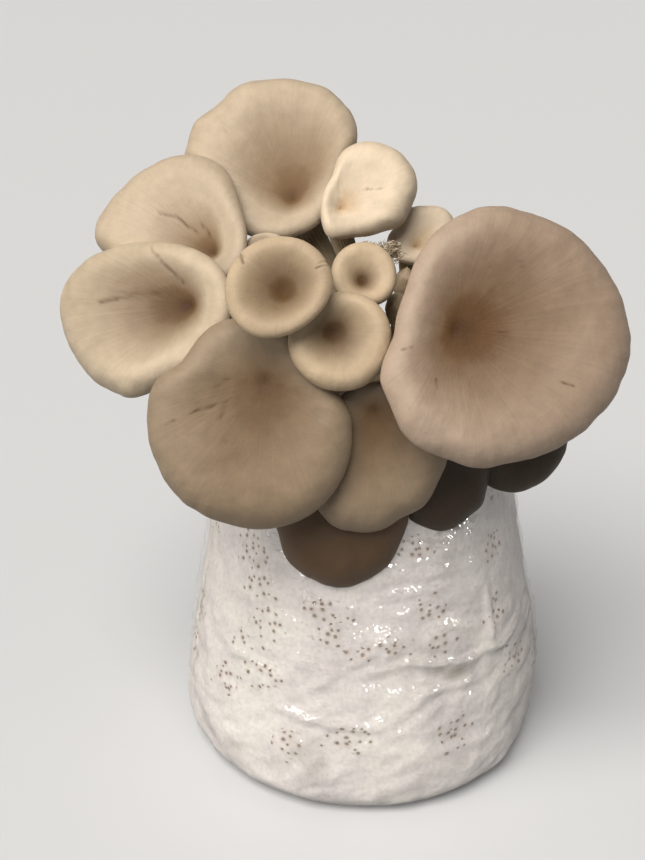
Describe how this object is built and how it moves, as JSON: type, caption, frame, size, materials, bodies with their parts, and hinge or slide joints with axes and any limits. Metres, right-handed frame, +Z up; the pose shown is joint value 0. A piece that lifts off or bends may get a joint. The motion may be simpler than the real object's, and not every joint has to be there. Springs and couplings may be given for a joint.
{
  "type": "oyster mushroom grow bag",
  "caption": "Clear wrinkled grow bag with a white mycelium block and a leaning cluster of oyster mushrooms over its front edge.",
  "frame": {"origin": "centre of the bag's flat bottom, on the surface that it stands on", "axes": "+Z up the bag; -Y is the front, where the cluster leans over; +X is to the right seen from the front"},
  "size_m": [0.2169, 0.1731, 0.2899],
  "materials": {
    "bag_film": "gloss",
    "mycelium_block": "matte",
    "cluster_base": "matte",
    "cap_skin": "satin",
    "stem_flesh": "matte",
    "pinhead_skin": "satin",
    "dry_fibre": "matte"
  },
  "bodies": {
    "root": {"grow_bag_film": "bag_film", "substrate_block": "mycelium_block", "cluster_base": "cluster_base", "cap_01": "cap_skin", "cap_02": "cap_skin", "cap_03": "cap_skin", "cap_04": "cap_skin", "cap_05": "cap_skin", "cap_06": "cap_skin", "cap_07": "cap_skin", "cap_08": "cap_skin", "cap_09": "cap_skin", "cap_10": "cap_skin", "cap_11": "cap_skin", "cap_12": "cap_skin", "cap_13": "cap_skin", "cap_14": "cap_skin", "cap_15": "cap_skin", "stem_01": "stem_flesh", "stem_02": "stem_flesh", "stem_03": "stem_flesh", "stem_04": "stem_flesh", "stem_05": "stem_flesh", "stem_06": "stem_flesh", "stem_07": "stem_flesh", "stem_08": "stem_flesh", "stem_09": "stem_flesh", "stem_10": "stem_flesh", "stem_11": "stem_flesh", "stem_12": "stem_flesh", "stem_13": "stem_flesh", "stem_14": "stem_flesh", "stem_15": "stem_flesh", "pinhead_1": "pinhead_skin", "pinhead_2": "pinhead_skin", "fibre_tuft": "dry_fibre"}
  },
  "joints": []
}
